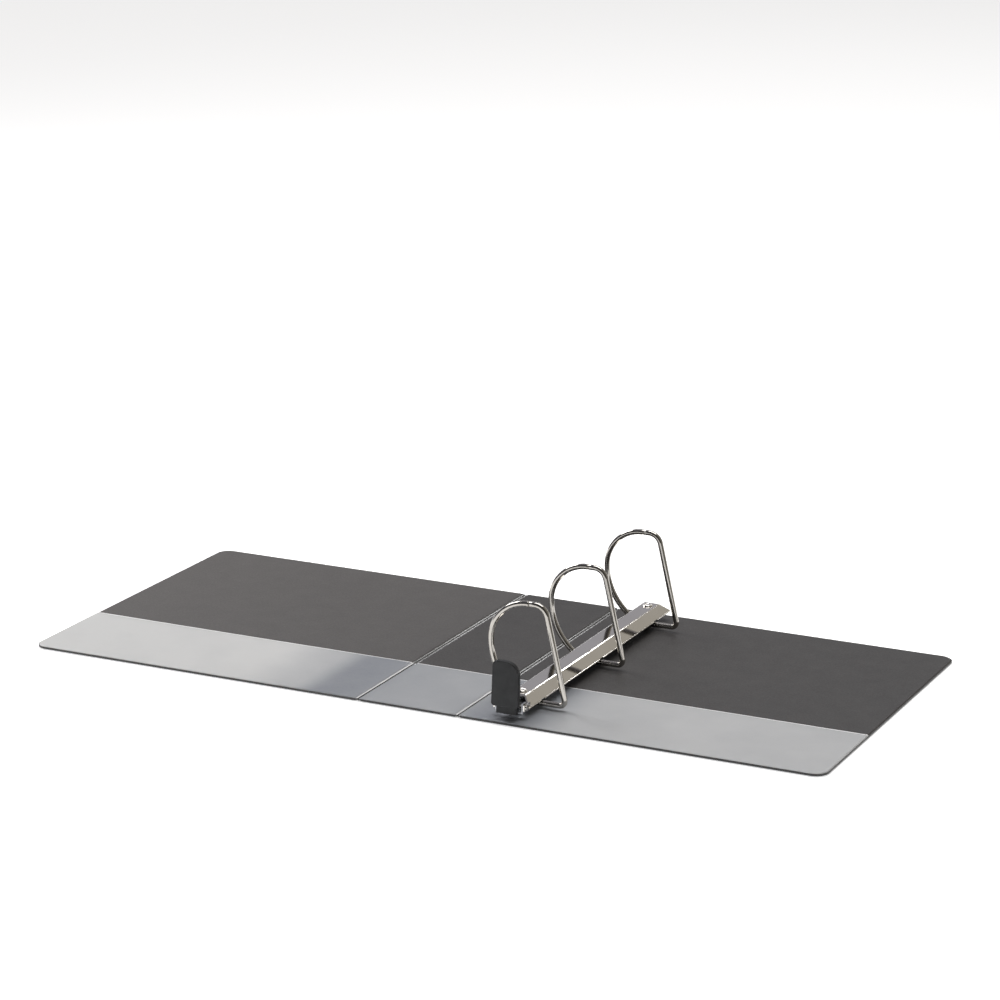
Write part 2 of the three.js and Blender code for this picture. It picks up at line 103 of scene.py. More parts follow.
RING_YS = [
    (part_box(f"{name}_ring_curved_half")[0].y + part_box(f"{name}_ring_curved_half")[1].y) / 2
    for name in ("near", "middle", "far")
]
NOTCH_HALF = 3.1 * MM
HEM_RADIUS = 0.6 * MM
HEM_SIDES = 16
HEM_PROUD = 0.4 * MM
HOUSING_NEAR_Y = -132 * MM
WIRE_RADIUS = 2.2 * MM
WIRE_CHAMFER = 0.25 * MM
RING_TOP_Z = LINER_TOP + 79.2 * MM
RING_ROUND = 30 * MM
RING_FLANK = 50 * MM
RING_CENTRE_X = HOUSING_X + 0.15 * MM
TIP_X = HOUSING_X + 0.85 * MM
TIP_GAP = 0.3 * MM
TIP_POINT = 0.9 * MM
LEG_LEAN = 0.2413
LEG_TOP_X = HOUSING_X + 13.8 * MM
LEG_TOP_BEND = 10 * MM
LEG_FOOT_BEND = 4 * MM
BAR_Z = LINER_TOP + 4.3 * MM
FOOT_X = 7.8 * MM
CURVED_FOOT_Z = LINER_TOP + 9.0 * MM


# ---------------------------------------------------------------- mesh helpers

def new_object(name, verts, faces, smooth_angle=40):
    """A mesh object with outward normals, smooth except across edges sharper than the angle."""
    mesh = bpy.data.meshes.new(name)
    mesh.from_pydata([tuple(v) for v in verts], [], faces)
    bm = bmesh.new()
    bm.from_mesh(mesh)
    bmesh.ops.recalc_face_normals(bm, faces=bm.faces)
    bm.to_mesh(mesh)
    bm.free()
    mesh.shade_smooth()
    mesh.set_sharp_from_angle(angle=math.radians(smooth_angle))
    obj = bpy.data.objects.new(name, mesh)
    bpy.context.scene.collection.objects.link(obj)
    return obj


def loft(name, loops, closed=False, smooth_angle=40):
    """Skins a list of point loops, capping both ends, or joining the last loop to the first."""
    count = len(loops[0])
    verts = [point for loop in loops for point in loop]
    faces = []
    last = len(loops) if closed else len(loops) - 1
    for i in range(last):
        here = i * count
        there = ((i + 1) % len(loops)) * count
        for k in range(count):
            n = (k + 1) % count
            faces.append((here + k, here + n, there + n, there + k))
    if not closed:
        faces.append(tuple(reversed(range(count))))
        faces.append(tuple(range((len(loops) - 1) * count, len(loops) * count)))
    return new_object(name, verts, faces, smooth_angle)


def rounded_outline(x0, x1, y0, y1, radii):
    """Points round a rectangle, counter-clockwise from the low left corner, with a radius for each corner."""
    corners = [
        (x0, y0, 1, 1, math.pi),
        (x1, y0, -1, 1, 1.5 * math.pi),
        (x1, y1, -1, -1, 0.0),
        (x0, y1, 1, -1, 0.5 * math.pi),
    ]
    points = []
    for (x, y, sx, sy, start), radius in zip(corners, radii):
        for i in range(CORNER_STEPS + 1):
            a = start + 0.5 * math.pi * i / CORNER_STEPS
            points.append((x + sx * radius + radius * math.cos(a), y + sy * radius + radius * math.sin(a)))
    return points


def smoothstep(a, b, x):
    """0 up to a and 1 from b, with an even slope between."""
    t = min(max((x - a) / (b - a), 0.0), 1.0)
    return t * t * (3 - 2 * t)


def finish_piece(obj, body, node, material):
    """Gives a new piece its material, its body and the CAD nodes that it stands for."""
    obj.data.materials.clear()
    obj.data.materials.append(material)
    if body is not None:
        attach(obj, body)
    if node is not None:
        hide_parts(*([node] if isinstance(node, str) else node))
    return obj


def refined_copy(node, name, bevel, segments=3, angle=30):
    """A copy of a CAD node with its seams welded, its flat faces joined up and its edges rounded."""
    mesh = frame["nodes"][node].data.copy()
    mesh.name = name
    bm = bmesh.new()
    bm.from_mesh(mesh)
    bmesh.ops.remove_doubles(bm, verts=bm.verts, dist=0.002 * MM)
    bmesh.ops.dissolve_limit(
        bm, angle_limit=math.radians(1), verts=bm.verts, edges=bm.edges, use_dissolve_boundaries=False
    )
    bm.to_mesh(mesh)
    bm.free()
    obj = bpy.data.objects.new(name, mesh)
    bpy.context.scene.collection.objects.link(obj)
    rounding = obj.modifiers.new("rounded_edges", "BEVEL")
    rounding.width = bevel
    rounding.segments = segments
    rounding.limit_method = "ANGLE"
    rounding.angle_limit = math.radians(angle)
    rounding.harden_normals = True
    mesh.shade_smooth()
    mesh.set_sharp_from_angle(angle=math.radians(angle))
    obj.modifiers.new("flat_faces_stay_flat", "WEIGHTED_NORMAL").keep_sharp = True
    return obj


# ---------------------------------------------------------------- materials

class NodeMaterial:
    """A small builder for node materials: noise, ramps and bumps in the object's own coordinates."""

    def __init__(self, name):
        self.material = bpy.data.materials.new(name)
        self.material.use_nodes = True
        self.nodes = self.material.node_tree.nodes
        self.links = self.material.node_tree.links
        self.shader = self.nodes["Principled BSDF"]
        self.place = self.nodes.new("ShaderNodeTexCoord").outputs["Object"]
        self.height = None

    def link(self, source, target):
        self.links.new(source, target)

    def stretched(self, scale):
        """The coordinates stretched along each axis."""
        mapping = self.nodes.new("ShaderNodeMapping")
        mapping.inputs["Scale"].default_value = scale
        self.link(self.place, mapping.inputs["Vector"])
        return mapping.outputs["Vector"]

    def noise(self, scale, detail=3, roughness=0.55, stretch=None):
        noise = self.nodes.new("ShaderNodeTexNoise")
        noise.inputs["Scale"].default_value = scale
        noise.inputs["Detail"].default_value = detail
        noise.inputs["Roughness"].default_value = roughness
        self.link(self.stretched(stretch) if stretch else self.place, noise.inputs["Vector"])
        return noise.outputs["Fac"]

    def cells(self, scale, feature="F1"):
        voronoi = self.nodes.new("ShaderNodeTexVoronoi")
        voronoi.feature = feature
        voronoi.inputs["Scale"].default_value = scale
        self.link(self.place, voronoi.inputs["Vector"])
        return voronoi.outputs["Distance"]

    def spread(self, value, low, high, from_low=0.3, from_high=0.7):
        """A value moved into a range."""
        node = self.nodes.new("ShaderNodeMapRange")
        node.inputs["From Min"].default_value = from_low
        node.inputs["From Max"].default_value = from_high
        node.inputs["To Min"].default_value = low
        node.inputs["To Max"].default_value = high
        self.link(value, node.inputs["Value"])
        return node.outputs["Result"]

    def blend_colours(self, value, dark, light):
        mix = self.nodes.new("ShaderNodeMix")
        mix.data_type = "RGBA"
        mix.inputs["A"].default_value = (*dark, 1)
        mix.inputs["B"].default_value = (*light, 1)
        self.link(value, mix.inputs["Factor"])
        return mix.outputs["Result"]

    def set(self, **values):
        for name, value in values.items():
            self.shader.inputs[name.replace("_", " ")].default_value = value

    def drive(self, name, value):
        self.link(value, self.shader.inputs[name])

    def bump(self, value, distance, strength=1.0):
        """Adds a bump on top of those already there."""
        node = self.nodes.new("ShaderNodeBump")
        node.inputs["Distance"].default_value = distance
        node.inputs["Strength"].default_value = strength
        self.link(value, node.inputs["Height"])
        if self.height is not None:
            self.link(self.height, node.inputs["Normal"])
        self.height = node.outputs["Normal"]
        self.link(self.height, self.shader.inputs["Normal"])

    def sum(self, first, second):
        node = self.nodes.new("ShaderNodeMath")
        node.operation = "ADD"
        self.link(first, node.inputs[0])
        self.link(second, node.inputs[1])
        return node.outputs["Value"]

    def blend_into(self, value, source, light):
        """A linked colour that turns into a fixed one."""
        mix = self.nodes.new("ShaderNodeMix")
        mix.data_type = "RGBA"
        mix.inputs["B"].default_value = (*light, 1)
        self.link(source, mix.inputs["A"])
        self.link(value, mix.inputs["Factor"])
        return mix.outputs["Result"]

    def along(self, axis, stops):
        """A value that changes smoothly along an axis, from places in metres and the value at each."""
        split = self.nodes.new("ShaderNodeSeparateXYZ")
        self.link(self.place, split.inputs["Vector"])
        start, end = stops[0][0], stops[-1][0]
        ramp = self.nodes.new("ShaderNodeValToRGB")
        ramp.color_ramp.interpolation = "EASE"
        elements = ramp.color_ramp.elements
        elements[-1].position = 1
        for at, value in stops[1:-1]:
            elements.new((at - start) / (end - start))
        for element, (at, value) in zip(elements, stops):
            element.color = (value, value, value, 1)
        self.link(self.spread(split.outputs[axis], 0, 1, start, end), ramp.inputs["Fac"])
        return ramp.outputs["Color"]

    def beyond(self, axis, at, width):
        """1 past a place along an axis and 0 before it, with a soft step."""
        split = self.nodes.new("ShaderNodeSeparateXYZ")
        self.link(self.place, split.inputs["Vector"])
        return self.spread(split.outputs[axis], 0, 1, at - width / 2, at + width / 2)


VINYL_GRAIN = 0.05 * MM


def vinyl_material(name, dark, light, roughness, painted_light=None):
    """Calendered vinyl: a fine pebbled grain, faint streaks along the roll and slow waves, and painted light
    and shade along X when a ramp is given.
    """
    m = NodeMaterial(name)
    m.set(Specular_IOR_Level=0.5, IOR=1.5)
    if painted_light:
        # Painted light and shade along X, with a little random tone on it.
        shade = m.sum(m.along("X", painted_light), m.spread(m.noise(60, detail=4), -0.07, 0.07))
    else:
        shade = m.spread(m.noise(60, detail=4), 0, 1)
    m.drive("Base Color", m.blend_colours(shade, dark, light))
    m.drive("Roughness", m.spread(m.noise(900, detail=2), roughness - 0.05, roughness + 0.06))
    m.bump(m.noise(14, detail=1), 0.35 * MM, 0.5)
    m.bump(m.noise(700, detail=2, stretch=(0.25, 1, 1)), 0.03 * MM, 0.5)
    m.bump(m.cells(1900), VINYL_GRAIN, 0.7)
    return m.material


def welded_vinyl_material():
    """Vinyl in the grooves, which heat has pressed smooth and glossy."""
    m = NodeMaterial("welded_vinyl_black")
    m.set(IOR=1.5, Specular_IOR_Level=0.8, Coat_Weight=0.3, Coat_Roughness=0.12)
    shade = m.spread(m.noise(60), 0, 1)
    m.drive("Base Color", m.blend_colours(shade, (0.020, 0.020, 0.021), (0.030, 0.030, 0.032)))
    m.drive("Roughness", m.spread(m.noise(900, detail=2), 0.15, 0.22))
    m.bump(m.noise(500, detail=2, stretch=(1, 0.2, 1)), 0.01 * MM, 0.3)
    return m.material


# The pocket film's tone along X is painted shade and painted reflection: lightest on the front cover, darkest
# beside the two grooves, mid-dark over the spine, lighter again on the back cover.
FILM_PAINTED_SHADE = [
    (-0.33, 1.00),
    (-0.15, 0.98),
    (-0.10, 0.60),
    (-0.075, 0.10),
    (-0.05, 0.10),
    (-0.03, 0.34),
    (0.03, 0.38),
    (0.06, 0.12),
    (0.09, 0.15),
    (0.13, 0.62),
    (0.20, 0.72),
    (0.33, 0.66),
]
# Painted light and shade on the liner along X: lightest on the front cover, which lies in the light, and
# darker from the spine on, where shade falls.
LINER_PAINTED_LIGHT = [(-0.33, 0.94), (-0.12, 0.78), (-0.05, 0.70), (-0.035, 0.20), (0.15, 0.22), (0.33, 0.10)]


def pocket_material():
    """Frosted pocket film with painted shade and reflection along X, lightest over the front cover, and a
    white welded line along its open edge.
    """
    m = NodeMaterial("frosted_pocket_film")
    m.set(IOR=1.46, Specular_IOR_Level=0.6, Coat_Weight=0.25, Coat_Roughness=0.3)
    # Painted shade and painted reflection along X, darkest beside the grooves.
    painted_film_shade = m.along("X", FILM_PAINTED_SHADE)
    haze = m.spread(m.noise(25, detail=3), -0.05, 0.05)
    film = m.blend_colours(m.sum(painted_film_shade, haze), (0.30, 0.32, 0.36), (0.86, 0.86, 0.85))
    weld = m.beyond("Y", POCKET_TOP_Y - 0.75 * POCKET_BEAD, 0.3 * MM)
    m.drive("Base Color", m.blend_into(weld, film, (0.95, 0.95, 0.95)))
    m.drive("Alpha", m.spread(weld, 0.66, 0.97, 0, 1))
    m.drive("Roughness", m.spread(m.noise(500, detail=2), 0.3, 0.42))
    m.bump(m.noise(9, detail=2), 0.6 * MM, 0.5)
    m.bump(m.noise(1500, detail=2), 0.02 * MM, 0.5)
    return m.material


def weld_film_highlight_material():
    """Pocket film pressed glossy by the weld and coloured near white: a painted highlight for the bright line
    along the groove's left weld.
    """
    m = NodeMaterial("weld_film_painted_highlight")
    m.set(Alpha=0.75, IOR=1.46, Specular_IOR_Level=0.9)
    # Near-white colour: a painted highlight.
    painted_highlight = m.spread(m.noise(40), 0, 1)
    m.drive("Base Color", m.blend_colours(painted_highlight, (0.86, 0.86, 0.87), (0.95, 0.95, 0.95)))
    m.drive("Roughness", m.spread(m.noise(400, detail=3), 0.10, 0.18))
    m.bump(m.noise(800, detail=1), 0.01 * MM, 0.4)
    return m.material


def view_film_material():
    """Clear glossy film over the outside, slightly blue, with long soft ripples and dust-fine scuffs."""
    m = NodeMaterial("clear_view_film")
    m.set(Alpha=0.3, IOR=1.5, Specular_IOR_Level=0.8)
    haze = m.spread(m.noise(18, detail=3), 0, 1)
    m.drive("Base Color", m.blend_colours(haze, (0.36, 0.39, 0.43), (0.45, 0.48, 0.52)))
    m.drive("Roughness", m.spread(m.noise(700, detail=3), 0.14, 0.24))
    m.bump(m.noise(10, detail=2), 0.5 * MM, 0.4)
    m.bump(m.noise(1300, detail=1), 0.01 * MM, 0.4)
    return m.material


def nickel_material(name, dark, light):
    """Polished nickel plate: warm, with faint handling haze and drawing marks."""
    m = NodeMaterial(name)
    m.set(Metallic=1.0)
    warmth = m.spread(m.noise(25, detail=2), 0, 1)
    m.drive("Base Color", m.blend_colours(warmth, dark, light))
    m.drive("Roughness", m.spread(m.noise(60, detail=5, roughness=0.7), 0.05, 0.09))
    m.bump(m.noise(45, detail=1), 0.02 * MM, 0.25)
    m.bump(m.noise(2500, detail=2, stretch=(1, 0.05, 1)), 0.002 * MM, 0.4)
    return m.material


def zinc_material():
    """Zinc-plated pressed steel: satin, streaked along its length."""
    m = NodeMaterial("zinc_plated_steel")
    m.set(Metallic=1.0)
    streaks = m.noise(1200, detail=3, stretch=(1, 0.04, 1))
    m.drive("Base Color", m.blend_colours(m.spread(streaks, 0, 1), (0.30, 0.31, 0.33), (0.42, 0.43, 0.45)))
    m.drive("Roughness", m.spread(streaks, 0.26, 0.4))
    m.bump(streaks, 0.01 * MM, 0.5)
    return m.material


def lever_material():
    """Moulded black plastic with a fine spark-eroded texture, polished a little where thumbs press."""
    m = NodeMaterial("black_lever_plastic")
    m.set(IOR=1.49, Specular_IOR_Level=0.35)
    shade = m.spread(m.noise(200), 0, 1)
    m.drive("Base Color", m.blend_colours(shade, (0.011, 0.012, 0.013), (0.017, 0.018, 0.020)))
    m.drive("Roughness", m.spread(m.noise(120, detail=2), 0.42, 0.56))
    m.bump(m.cells(4200), 0.03 * MM, 0.6)
    m.bump(m.noise(2500, detail=2), 0.02 * MM, 0.5)
    return m.material


def board_material():
    """Grey-brown chipboard with darker flecks and a fibrous face."""
    m = NodeMaterial("chipboard")
    flecks = m.spread(m.noise(1500, detail=5, roughness=0.7), 0, 1)
    m.drive("Base Color", m.blend_colours(flecks, (0.25, 0.21, 0.17), (0.45, 0.40, 0.33)))
    m.set(Roughness=0.9)
    m.bump(m.noise(900, detail=4, stretch=(0.3, 1, 1)), 0.08 * MM, 0.7)
    return m.material


OUTER_VINYL = vinyl_material("outer_vinyl_black", (0.014, 0.014, 0.016), (0.022, 0.022, 0.024), 0.42)
# The liner's colour carries painted light and shade along X.
LINER_VINYL = vinyl_material(
    "liner_vinyl_charcoal", (0.030, 0.028, 0.027), (0.100, 0.094, 0.089), 0.50, LINER_PAINTED_LIGHT
)
WELDED_VINYL = welded_vinyl_material()
POCKET_FILM = pocket_material()
WELD_FILM_PAINTED_HIGHLIGHT = weld_film_highlight_material()
VIEW_FILM = view_film_material()
NICKEL = nickel_material("nickel_plate", (0.78, 0.75, 0.70), (0.83, 0.80, 0.76))
# The rings get a darker copy of the nickel plate: painted shade that dims their reflections.
RING_NICKEL_PAINTED_SHADE = nickel_material("ring_nickel_painted_shade", (0.43, 0.41, 0.38), (0.49, 0.47, 0.44))
ZINC = zinc_material()
LEVER_PLASTIC = lever_material()
CHIPBOARD = board_material()


# ---------------------------------------------------------------- camera, light and floor

CAMERA_PLACE = Vector((1.06685, -2.26442, 0.81803))
CAMERA_YAW = math.radians(-25.1429)
CAMERA_PITCH = math.radians(15.4764)
CAMERA_ROLL = math.radians(0.5975)
CAMERA_LENS = 121.3
FLOOR_REACH = 20.0
FLOOR_DROP = 0.05 * MM


def make_camera():
    """The camera stands to the right of the binder and looks down across it to the far left."""
    look = Vector(
        (
            math.sin(CAMERA_YAW) * math.cos(CAMERA_PITCH),
            math.cos(CAMERA_YAW) * math.cos(CAMERA_PITCH),
            -math.sin(CAMERA_PITCH),
        )
    )
    level = Vector((math.cos(CAMERA_YAW), -math.sin(CAMERA_YAW), 0))
    up = level.cross(look)
    right = level * math.cos(CAMERA_ROLL) + up * math.sin(CAMERA_ROLL)
    top = up * math.cos(CAMERA_ROLL) - level * math.sin(CAMERA_ROLL)
    turn = Matrix((right, top, -look)).transposed()
    data = bpy.data.cameras.new("camera")
    data.lens = CAMERA_LENS
    data.sensor_width = 36
    data.clip_end = 50
    camera = bpy.data.objects.new("camera", data)
    camera.matrix_world = Matrix.Translation(CAMERA_PLACE) @ turn.to_4x4()
    bpy.context.scene.collection.objects.link(camera)
    bpy.context.scene.camera = camera


def make_area_light(name, place, target, size, power):
    """A softbox, with its place and target in metres and its power in watts."""
    data = bpy.data.lights.new(name, "AREA")
    data.shape = "RECTANGLE"
    data.size, data.size_y = size
    data.energy = power
    light = bpy.data.objects.new(name, data)
    light.location = place
    light.rotation_mode = "QUATERNION"
    light.rotation_quaternion = (Vector(target) - Vector(place)).to_track_quat("-Z", "Y")
    bpy.context.scene.collection.objects.link(light)


def make_world():
    """A studio with pale walls, cooler on the left and warmer on the right, and dark behind the camera."""
    world = bpy.data.worlds.new("studio")
    bpy.context.scene.world = world
    world.use_nodes = True
    nodes, links = world.node_tree.nodes, world.node_tree.links
    background = nodes["Background"]
    place = nodes.new("ShaderNodeTexCoord")
    split = nodes.new("ShaderNodeSeparateXYZ")
    links.new(place.outputs["Generated"], split.inputs["Vector"])
    tint = nodes.new("ShaderNodeValToRGB")
    tint.color_ramp.elements[0].position = 0.3
    tint.color_ramp.elements[0].color = (0.90, 0.89, 0.97, 1)
    tint.color_ramp.elements[1].position = 0.6
    tint.color_ramp.elements[1].color = (1.0, 0.95, 0.86, 1)
    side = nodes.new("ShaderNodeMapRange")
    side.inputs["From Min"].default_value = -1
    side.inputs["From Max"].default_value = 1
    links.new(split.outputs["X"], side.inputs["Value"])
    links.new(side.outputs["Result"], tint.inputs["Fac"])
    links.new(tint.outputs["Color"], background.inputs["Color"])
    depth = nodes.new("ShaderNodeMapRange")
    depth.inputs["From Min"].default_value = -0.5
    depth.inputs["From Max"].default_value = 0.3
    depth.inputs["To Min"].default_value = 0.08
    depth.inputs["To Max"].default_value = 0.38
    links.new(split.outputs["Y"], depth.inputs["Value"])
    links.new(depth.outputs["Result"], background.inputs["Strength"])


def make_floor():
    """A wide pale floor just under the covers."""
    corners = [(-FLOOR_REACH, -FLOOR_REACH, 0), (FLOOR_REACH, -FLOOR_REACH, 0)]
    corners += [(FLOOR_REACH, FLOOR_REACH, 0), (-FLOOR_REACH, FLOOR_REACH, 0)]
    mesh = bpy.data.meshes.new("floor")
    mesh.from_pydata(corners, [], [(0, 1, 2, 3)])
    floor = bpy.data.objects.new("floor", mesh)
    floor.location.z = -FLOOR_DROP
    bpy.context.scene.collection.objects.link(floor)
    paint = bpy.data.materials.new("floor_paint")
    paint.use_nodes = True
    shader = paint.node_tree.nodes["Principled BSDF"]
    shader.inputs["Base Color"].default_value = (0.93, 0.93, 0.93, 1)
    shader.inputs["Roughness"].default_value = 0.9
    shader.inputs["Specular IOR Level"].default_value = 0.1
    shader.inputs["Emission Color"].default_value = (1, 1, 1, 1)
    shader.inputs["Emission Strength"].default_value = 0.6
    floor.data.materials.append(paint)


def make_studio():
    """The camera, the room, and three softboxes: overhead, beyond the binder and on its left."""
    make_camera()
    make_world()
    make_floor()
    make_area_light("overhead_softbox", (0.1, 0.3, 2.3), (0.05, 0, 0), (1.8, 1.2), 30)
    make_area_light("far_softbox", (-0.2, 3.5, 2.0), (0, 0, 0), (1.6, 0.12), 5)
    make_area_light("left_softbox", (-1.5, 0.4, 1.3), (-0.1, 0, 0), (0.8, 0.8), 16)
    bpy.context.scene.view_settings.view_transform = "Standard"


# ---------------------------------------------------------------- cover panels

def panel_span(name):
    """Where a panel starts and ends along X."""
    low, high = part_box(f"{name}_liner")
    return low.x, high.x


def panel_loop(name, edge, groove, top=None):
    """A panel's outline drawn in from its open edges and, by another amount, from its hinge grooves."""
    x0, x1 = panel_span(name)
    sides = PANELS[name]
    insets = {"edge": edge, "groove": groove}
    left, right = insets[sides["left"]], insets[sides["right"]]
    radii = {"edge": max(CORNER_RADIUS - edge, LEAST_EDGE_RADIUS), "groove": GROOVE_CORNER}
    round_left, round_right = radii[sides["left"]], radii[sides["right"]]
    y1 = HALF_HEIGHT - (edge if top is None else top)
    corner_radii = (round_left, round_right, round_right, round_left)
    return rounded_outline(x0 + left, x1 - right, -HALF_HEIGHT + edge, y1, corner_radii)


def edge_distance(name, x, y):
    """How far a point lies inside the panel's open edges, and inside its grooves."""
    x0, x1 = panel_span(name)
    sides = PANELS[name]
    to_edges = [HALF_HEIGHT - abs(y)]
    to_grooves = []
    for side, distance in ((sides["left"], x - x0), (sides["right"], x1 - x)):
        (to_edges if side == "edge" else to_grooves).append(distance)
        if side == "edge":
            across = CORNER_RADIUS - distance
            along = CORNER_RADIUS - (HALF_HEIGHT - abs(y))
            if across > 0 and along > 0:
                to_edges.append(CORNER_RADIUS - math.hypot(across, along))
    return min(to_edges), min(to_grooves) if to_grooves else 1.0


def rise(name, x, y):
    """0 on the welded seam and 1 where the panel is flat over its board."""
    edge, groove = edge_distance(name, x, y)
    over_edge = smoothstep(SEAM_WIDTH, SEAM_WIDTH + SLOPE_WIDTH, edge)
    over_groove = smoothstep(-GROOVE_OVERLAP, GROOVE_SLOPE, groove)
    return min(over_edge, over_groove)


def liner_height(name, x, y):
    """The height of the liner's upper face."""
    return SEAM_TOP + (LINER_TOP - SEAM_TOP) * rise(name, x, y)


def skin_height(name, x, y):
    """The height of the outer skin's lower face."""
    return SEAM_BOTTOM + (SKIN_FLAT - SEAM_BOTTOM) * rise(name, x, y)


# How far, in millimetres, each loop of a panel's sheet lies from its open edges and from its grooves.
EDGE_STEPS = [0.0, 0.1, 0.25, 0.4, 0.55, 0.7, 0.85, 1.0, 1.15, 1.3, 1.5, 2.2]
GROOVE_STEPS = [0.0, 0.06, 0.14, 0.22, 0.32, 0.42, 0.54, 0.66, 0.78, 0.9, 1.1, 1.6]


def sheet_between(name, upper, lower, loops):
    """A thin closed sheet on a run of loops: out along its lower face and back along its upper one."""
    def at(loop, height):
        return [(x, y, height(x, y)) for x, y in loop]

    below = [at(loop, lower) for loop in reversed(loops)]
    above = [at(loop, upper) for loop in loops]
    return loft(name, below + above, smooth_angle=50)


def make_liner(name):
    """The inner charcoal sheet, drawn down over the board's edges to the seam."""
    loops = [panel_loop(name, e * MM, g * MM) for e, g in zip(EDGE_STEPS, GROOVE_STEPS)]

    def upper(x, y):
        return liner_height(name, x, y)

    def lower(x, y):
        return liner_height(name, x, y) - SHEET

    piece = sheet_between(f"{name}_inner_liner", upper, lower, loops)
    return finish_piece(piece, PANELS[name]["body"], f"{name}_liner", LINER_VINYL)


def make_outer_skin(name):
    """The black outer sheet, its seam meeting the liner's half way up the edge."""
    loops = [panel_loop(name, e * MM, g * MM) for e, g in zip(EDGE_STEPS, GROOVE_STEPS)]

    def upper(x, y):
        folded = 1 - smoothstep(FOLD_START, FOLD_END, min(edge_distance(name, x, y)))
        flat = skin_height(name, x, y) + SKIN_SHEET
        under_liner = liner_height(name, x, y) - SHEET - SEAM_GAP
        return flat + (under_liner - flat) * folded

    def lower(x, y):
        return skin_height(name, x, y)

    piece = sheet_between(f"{name}_outer_cover", upper, lower, loops)
    return finish_piece(piece, PANELS[name]["body"], f"{name}_outer_skin", OUTER_VINYL)


def make_board(name):
    """The chipboard, with softly crushed edges."""
    crushed = [(0.3, 0.0), (0.05, 0.1), (0.0, 0.4)]
    section = [(extra * MM, BOARD_LOW + step * MM) for extra, step in crushed]
    section += [(extra * MM, BOARD_HIGH - step * MM) for extra, step in reversed(crushed)]
    loops = []
    for extra, z in section:
        outline = panel_loop(name, BOARD_INSET + extra, BOARD_INSET + extra)
        loops.append([(x, y, z) for x, y in outline])
    piece = loft(f"{name}_chipboard", loops)
    return finish_piece(piece, PANELS[name]["body"], f"{name}_board", CHIPBOARD)


def make_view_film(name):
    """The clear outer film: welded down along three sides, open at the top edge of the cover."""
    steps = [1.3, 1.4, 1.6, 1.9, 2.4, 3.0]
    top = HALF_HEIGHT - VIEW_FILM_TOP_Y
    loops = [panel_loop(name, s * MM, s * MM, top=top + s * MM - steps[0] * MM) for s in steps]

    def lower(x, y):
        return max(skin_height(name, x, y) - SKIN_FLAT, 0.0)

    def upper(x, y):
        return lower(x, y) + VIEW_FILM_SHEET

    piece = sheet_between(f"{name}_clear_view_film", upper, lower, loops)
    return finish_piece(piece, PANELS[name]["body"], f"{name}_view_film", VIEW_FILM)


def make_pocket(name):
    """The frosted pocket film on the liner, welded at the bottom and sides, with a beaded open edge."""
    steps = [0.4, 0.5, 0.7, 0.85, 1.0, 1.15, 1.3, 1.5, 2.2, 3.0]
    loops = []
    for s in steps:
        outline = panel_loop(name, s * MM, 0.6 * s * MM - 0.2 * MM)
        ceiling = POCKET_TOP_Y - 0.35 * (s - steps[0]) * MM
        loops.append([(x, min(y, ceiling)) for x, y in outline])

    def lower(x, y):
        return liner_height(name, x, y) + POCKET_LIFT

    def upper(x, y):
        edge = 1 - smoothstep(0.5 * POCKET_BEAD, POCKET_BEAD, POCKET_TOP_Y - y)
        return lower(x, y) + POCKET_SHEET + BEAD_RISE * edge

    piece = sheet_between(f"{name}_pocket_film", upper, lower, loops)
    return finish_piece(piece, PANELS[name]["body"], f"{name}_pocket", POCKET_FILM)


# ---------------------------------------------------------------- hinges

# A groove's section in millimetres: how far from its middle, then the height of its upper and lower faces.
WEB_SECTION = [
    (-2.05, 2.36, 0.86),
    (-1.85, 2.46, 0.80),
    (-1.70, 2.44, 0.76),
    (-0.95, 2.04, 0.86),
    (-0.80, 1.90, 0.90),
    (-0.70, 1.66, 0.92),
    (-0.60, 1.40, 0.96),
    (-0.45, 1.36, 0.98),
    (-0.10, 1.38, 0.96),
    (0.10, 1.52, 0.92),
    (0.30, 1.92, 0.84),
    (0.42, 1.97, 0.80),
    (0.52, 1.94, 0.80),
    (1.05, 1.66, 0.80),
    (1.20, 1.62, 0.84),
    (1.40, 1.66, 0.88),
    (1.70, 1.94, 0.88),
    (2.05, 2.22, 0.88),
]
# The two raised welds of a groove, from one offset to another, and the film on each: the left weld's
# near-white film is a painted highlight.
WELDS = [(-2.1, -0.9, WELD_FILM_PAINTED_HIGHLIGHT), (0.2, 1.3, POCKET_FILM)]
FILM_SHEET = 0.12
FILM_LIFT = 0.03
WEB_INSET = 0.3 * MM
FILM_INSET = 0.6 * MM


def web_profile():
    """The groove's closed section as (offset, height) points."""
    upper = [(dx, up) for dx, up, down in WEB_SECTION]
    lower = [(dx, down) for dx, up, down in reversed(WEB_SECTION)]
    return [(dx * MM, z * MM) for dx, z in upper + lower]


def weld_film_profile(start, end):
    """The section of the pocket film where it lies on one of the groove's welds."""
    covered = [(dx, up + FILM_LIFT) for dx, up, down in WEB_SECTION if start < dx < end]
    upper = [(dx, z + FILM_SHEET) for dx, z in covered]
    return [(dx * MM, z * MM) for dx, z in upper + covered[::-1]]


def sweep_along_y(name, x, profile, ys):
    """A section carried along Y through the given stations."""
    loops = [[(x + dx, y, z) for dx, z in profile] for y in ys]
    return loft(name, loops, smooth_angle=60)


